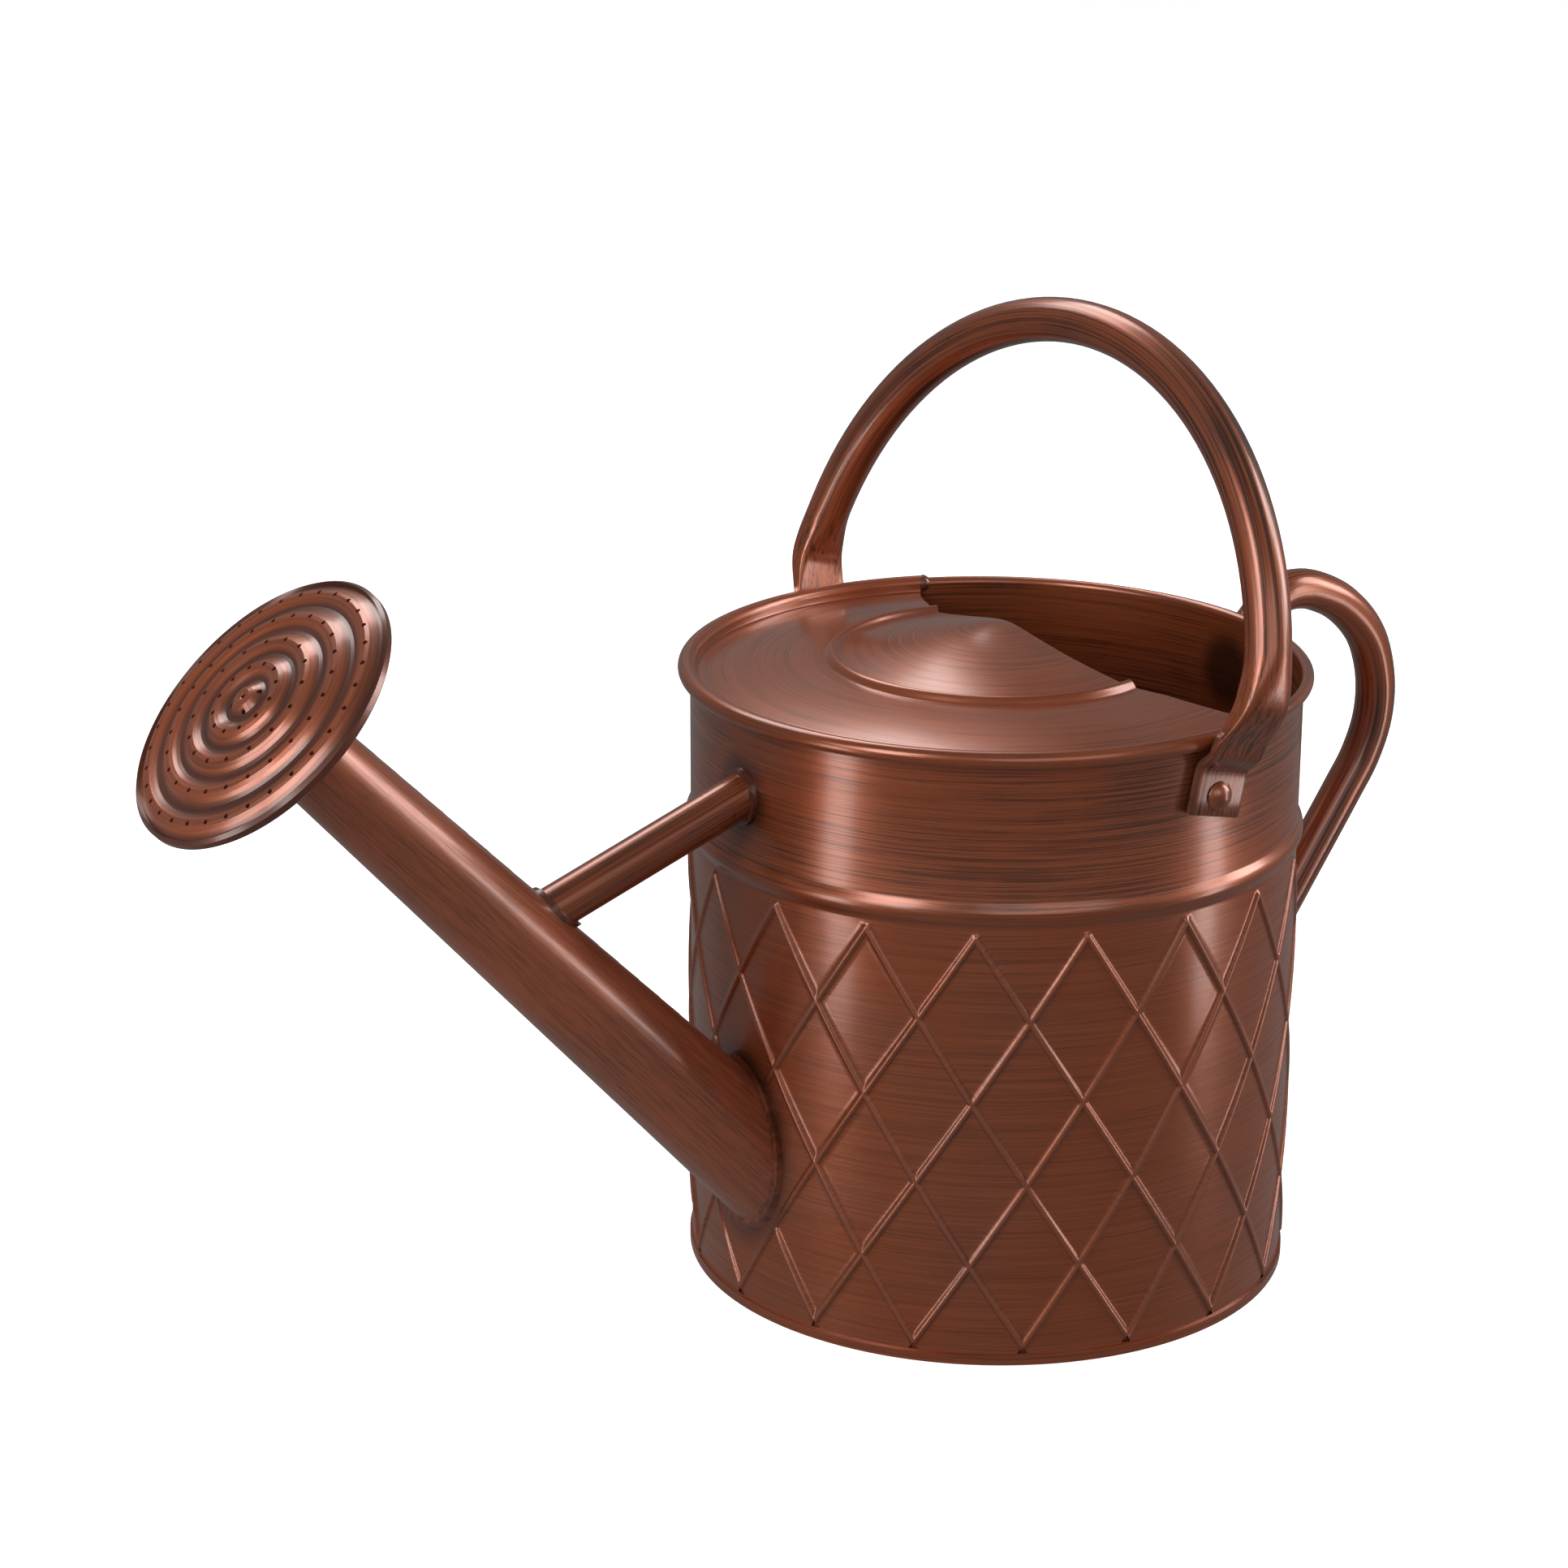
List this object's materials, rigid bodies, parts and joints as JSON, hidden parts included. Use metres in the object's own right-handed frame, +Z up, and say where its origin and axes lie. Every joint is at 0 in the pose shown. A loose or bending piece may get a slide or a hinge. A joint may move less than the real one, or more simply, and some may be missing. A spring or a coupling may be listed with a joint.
{
  "type": "watering can",
  "caption": "Round sheet-metal watering can with raised diamond lattice, half cover, long braced spout, wide perforated rose, swinging bail and rear handle.",
  "frame": {"origin": "centre of the base ring on the floor", "axes": "+Z up along the can axis; the spout points to -X and the rear handle to +X; the bail pivots lie on +Y and -Y"},
  "size_m": [0.4159, 0.2095, 0.2789],
  "materials": {
    "copper_body": "brushed antique copper paint, satin",
    "copper_rim": "brushed antique copper paint, satin",
    "copper_cover": "concentrically brushed antique copper paint, satin",
    "copper_spout": "lengthwise brushed antique copper paint, satin",
    "copper_tube": "lengthwise brushed antique copper paint, satin",
    "copper_rose": "brushed antique copper paint, satin",
    "dark_solder": "painted solder, dull",
    "rivet_copper": "painted rivet, satin",
    "steel_wire": "bare steel, hidden"
  },
  "bodies": {
    "can": {"body_shell": "copper_body", "rim_wire": "steel_wire", "base_plate": "copper_rim", "front_cover": "copper_cover", "cover_tacks": "dark_solder", "spout_tube": "copper_spout", "spout_solder": "dark_solder", "brace_tube": "copper_tube", "brace_solder_body": "dark_solder", "brace_solder_spout": "dark_solder", "rear_handle": "copper_tube", "handle_solder_upper": "dark_solder", "handle_solder_lower": "dark_solder", "pivot_rivet_right": "rivet_copper", "pivot_rivet_left": "rivet_copper", "pivot_washer_right": "rivet_copper", "pivot_washer_left": "rivet_copper"},
    "bail": {"bail_tube": "copper_tube"},
    "rose": {"rose_face": "copper_rose", "rose_back": "copper_rose", "rose_neck": "copper_spout", "rose_solder": "dark_solder"}
  },
  "joints": [
    {"name": "bail_hinge", "type": "hinge", "parent": "can", "child": "bail", "pos_m": [0.004, 0.00017, 0.1616], "axis": [-0.0436, 0.999, 0], "range_deg": [-100, 56]},
    {"name": "rose_pull", "type": "slide", "parent": "can", "child": "rose", "axis": [-0.6884, 0, 0.7254], "range_m": [0, 0.03]}
  ]
}
